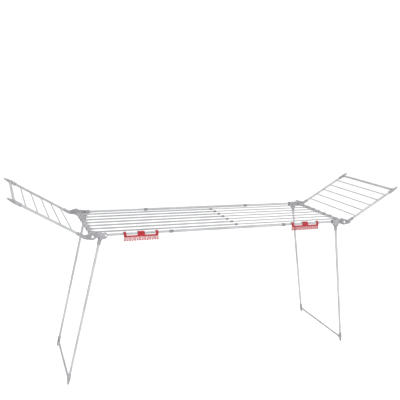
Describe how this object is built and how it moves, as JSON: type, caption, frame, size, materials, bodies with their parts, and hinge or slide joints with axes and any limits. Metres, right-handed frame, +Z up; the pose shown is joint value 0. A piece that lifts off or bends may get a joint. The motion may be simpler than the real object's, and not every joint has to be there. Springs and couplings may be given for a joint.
{
  "type": "clothes drying rack",
  "caption": "Extending floor-standing clothes drying rack with a telescopic hanging plane, two raised folding wings, two folding leg frames and comb clips.",
  "frame": {"origin": "on the floor, under the middle of the rack", "axes": "+X along the rack, from the left leg frame to the right one; +Y from the front to the back; +Z up"},
  "size_m": [2.4778, 0.5768, 1.1422],
  "materials": {
    "tube_silver": "satin silver-grey paint",
    "moulded_grey": "moulded mid grey",
    "rivet_steel": "satin steel",
    "comb_red": "semi-gloss moulded red"
  },
  "bodies": {
    "left_end_frame": {"left_front_bracket": "moulded_grey", "left_back_bracket": "moulded_grey", "left_hinge_tube": "tube_silver", "left_line_sleeves": "moulded_grey", "left_rivets": "rivet_steel", "left_front_rail": "tube_silver", "left_back_rail": "tube_silver", "line_collars": "moulded_grey", "line_tube_1": "tube_silver", "line_tube_2": "tube_silver", "line_tube_3": "tube_silver", "line_tube_4": "tube_silver", "line_tube_5": "tube_silver", "line_tube_6": "tube_silver", "line_tube_7": "tube_silver"},
    "right_end_frame": {"right_front_bracket": "moulded_grey", "right_back_bracket": "moulded_grey", "right_hinge_tube": "tube_silver", "right_line_sleeves": "moulded_grey", "right_rivets": "rivet_steel", "right_front_rail": "tube_silver", "right_back_rail": "tube_silver", "line_rod_1": "tube_silver", "line_rod_2": "tube_silver", "line_rod_3": "tube_silver", "line_rod_4": "tube_silver", "line_rod_5": "tube_silver", "line_rod_6": "tube_silver", "line_rod_7": "tube_silver"},
    "middle_rails": {"front_mid_rail": "tube_silver", "back_mid_rail": "tube_silver", "rail_collars": "moulded_grey"},
    "left_wing": {"left_wing_front_arm": "moulded_grey", "left_wing_back_arm": "moulded_grey", "left_wing_front_rail": "tube_silver", "left_wing_back_rail": "tube_silver", "left_wing_end_bar": "tube_silver", "left_wing_rods": "tube_silver", "left_wing_corners": "moulded_grey"},
    "left_leg_frame": {"left_leg_sockets": "moulded_grey", "left_front_leg": "tube_silver", "left_back_leg": "tube_silver", "left_leg_bar": "tube_silver", "left_feet": "moulded_grey"},
    "left_comb": {"left_clip": "comb_red"},
    "right_wing": {"right_wing_front_arm": "moulded_grey", "right_wing_back_arm": "moulded_grey", "right_wing_front_rail": "tube_silver", "right_wing_back_rail": "tube_silver", "right_wing_end_bar": "tube_silver", "right_wing_rods": "tube_silver", "right_wing_corners": "moulded_grey"},
    "right_leg_frame": {"right_leg_sockets": "moulded_grey", "right_front_leg": "tube_silver", "right_back_leg": "tube_silver", "right_leg_bar": "tube_silver", "right_feet": "moulded_grey"},
    "right_comb": {"right_clip": "comb_red"}
  },
  "joints": [
    {"name": "rack_slide", "type": "slide", "parent": "left_end_frame", "child": "right_end_frame", "axis": [-1, 0, 0], "range_m": [0, 0.68]},
    {"name": "middle_rails_slide", "type": "slide", "parent": "left_end_frame", "child": "middle_rails", "axis": [-1, 0, 0], "range_m": [0, 0.34]},
    {"name": "left_wing_hinge", "type": "hinge", "parent": "left_end_frame", "child": "left_wing", "pos_m": [-0.825, 0, 0.92], "axis": [0, 1, 0], "range_deg": [0, 149]},
    {"name": "right_wing_hinge", "type": "hinge", "parent": "right_end_frame", "child": "right_wing", "pos_m": [0.825, 0, 0.92], "axis": [0, -1, 0], "range_deg": [0, 149]},
    {"name": "left_leg_hinge", "type": "hinge", "parent": "left_end_frame", "child": "left_leg_frame", "pos_m": [-0.777, 0, 0.897], "axis": [0, -1, 0], "range_deg": [0, 101]},
    {"name": "right_leg_hinge", "type": "hinge", "parent": "right_end_frame", "child": "right_leg_frame", "pos_m": [0.777, 0, 0.897], "axis": [0, 1, 0], "range_deg": [0, 101]},
    {"name": "left_clip_slide", "type": "slide", "parent": "left_end_frame", "child": "left_comb", "axis": [1, 0, 0], "range_m": [-0.08, 0.08]},
    {"name": "right_clip_slide", "type": "slide", "parent": "right_end_frame", "child": "right_comb", "axis": [-1, 0, 0], "range_m": [-0.08, 0.08]}
  ],
  "couplings": [
    {"joint": "middle_rails_slide", "follows": "rack_slide", "ratio": 0.5}
  ]
}
